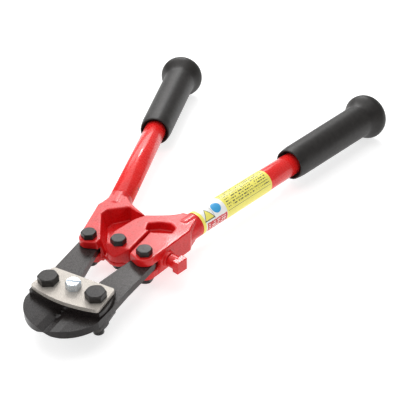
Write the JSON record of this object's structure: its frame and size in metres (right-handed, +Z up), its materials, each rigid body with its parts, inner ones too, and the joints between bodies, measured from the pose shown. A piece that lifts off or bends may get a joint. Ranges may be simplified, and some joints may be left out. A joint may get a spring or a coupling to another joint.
{
  "type": "bolt cutters",
  "caption": "Centre-cut bolt cutters with forged jaws between straps, cast handle heads, tube handles and flared rubber grips.",
  "frame": {"origin": "on the floor under the centre of the closed tool's bounding box", "axes": "+Y from the jaws to the grips along the centre line, +Z up through the pivot bolts, +X across the tool to the right handle"},
  "size_m": [0.2698, 0.4512, 0.048],
  "materials": {
    "forged_steel": "black oxide, semi-gloss",
    "strap_steel": "satin nickel, fine blasted grain",
    "black_bolt": "black oxide",
    "zinc_plated": "bright zinc",
    "red_casting": "gloss red paint over cast steel",
    "red_tube": "gloss red paint",
    "black_rubber": "matte moulded rubber",
    "label_film": "printed film"
  },
  "bodies": {
    "straps": {"strap_top": "strap_steel", "strap_bottom": "strap_steel", "jaw_bolt_left": "black_bolt", "jaw_bolt_right": "black_bolt", "jaw_nut_left": "black_bolt", "jaw_nut_right": "black_bolt", "guide_screw": "zinc_plated", "guide_nut": "zinc_plated", "guide_spacer": "zinc_plated"},
    "jaw_left": {"jaw_left": "forged_steel"},
    "jaw_right": {"jaw_right": "forged_steel"},
    "centre_pivot": {"centre_bolt": "black_bolt", "centre_nut": "black_bolt"},
    "handle_left": {"handle_head_left": "red_casting", "tail_bolt_left": "black_bolt", "tail_nut_left": "black_bolt", "handle_tube_left": "red_tube", "tube_pin_left": "black_bolt", "grip_left": "black_rubber"},
    "handle_right": {"handle_head_right": "red_casting", "tail_bolt_right": "black_bolt", "tail_nut_right": "black_bolt", "handle_tube_right": "red_tube", "tube_pin_right": "black_bolt", "grip_right": "black_rubber", "handle_label": "label_film", "adjusting_screw": "red_casting"}
  },
  "joints": [
    {"name": "centre_bolt_travel", "type": "slide", "parent": "straps", "child": "centre_pivot", "axis": [0, 1, 0], "range_m": [0, 0.01736]},
    {"name": "handle_left_hinge", "type": "hinge", "parent": "centre_pivot", "child": "handle_left", "pos_m": [0, -0.11437, 0.024], "axis": [0, 0, 1], "range_deg": [0, 40]},
    {"name": "handle_right_hinge", "type": "hinge", "parent": "centre_pivot", "child": "handle_right", "pos_m": [0, -0.11437, 0.024], "axis": [0, 0, 1], "range_deg": [-40, 0]},
    {"name": "jaw_left_hinge", "type": "hinge", "parent": "straps", "child": "jaw_left", "pos_m": [-0.022, -0.18457, 0.024], "axis": [0, 0, 1], "range_deg": [-6.65, 0]},
    {"name": "jaw_right_hinge", "type": "hinge", "parent": "straps", "child": "jaw_right", "pos_m": [0.022, -0.18457, 0.024], "axis": [0, 0, 1], "range_deg": [0, 6.65]}
  ],
  "couplings": [
    {"joint": "handle_right_hinge", "follows": "handle_left_hinge", "ratio": -1},
    {"joint": "jaw_left_hinge", "follows": "handle_left_hinge", "ratio": -0.1655},
    {"joint": "jaw_right_hinge", "follows": "handle_left_hinge", "ratio": 0.1655},
    {"joint": "centre_bolt_travel", "follows": "handle_left_hinge", "m_per_rad": 0.02458}
  ]
}
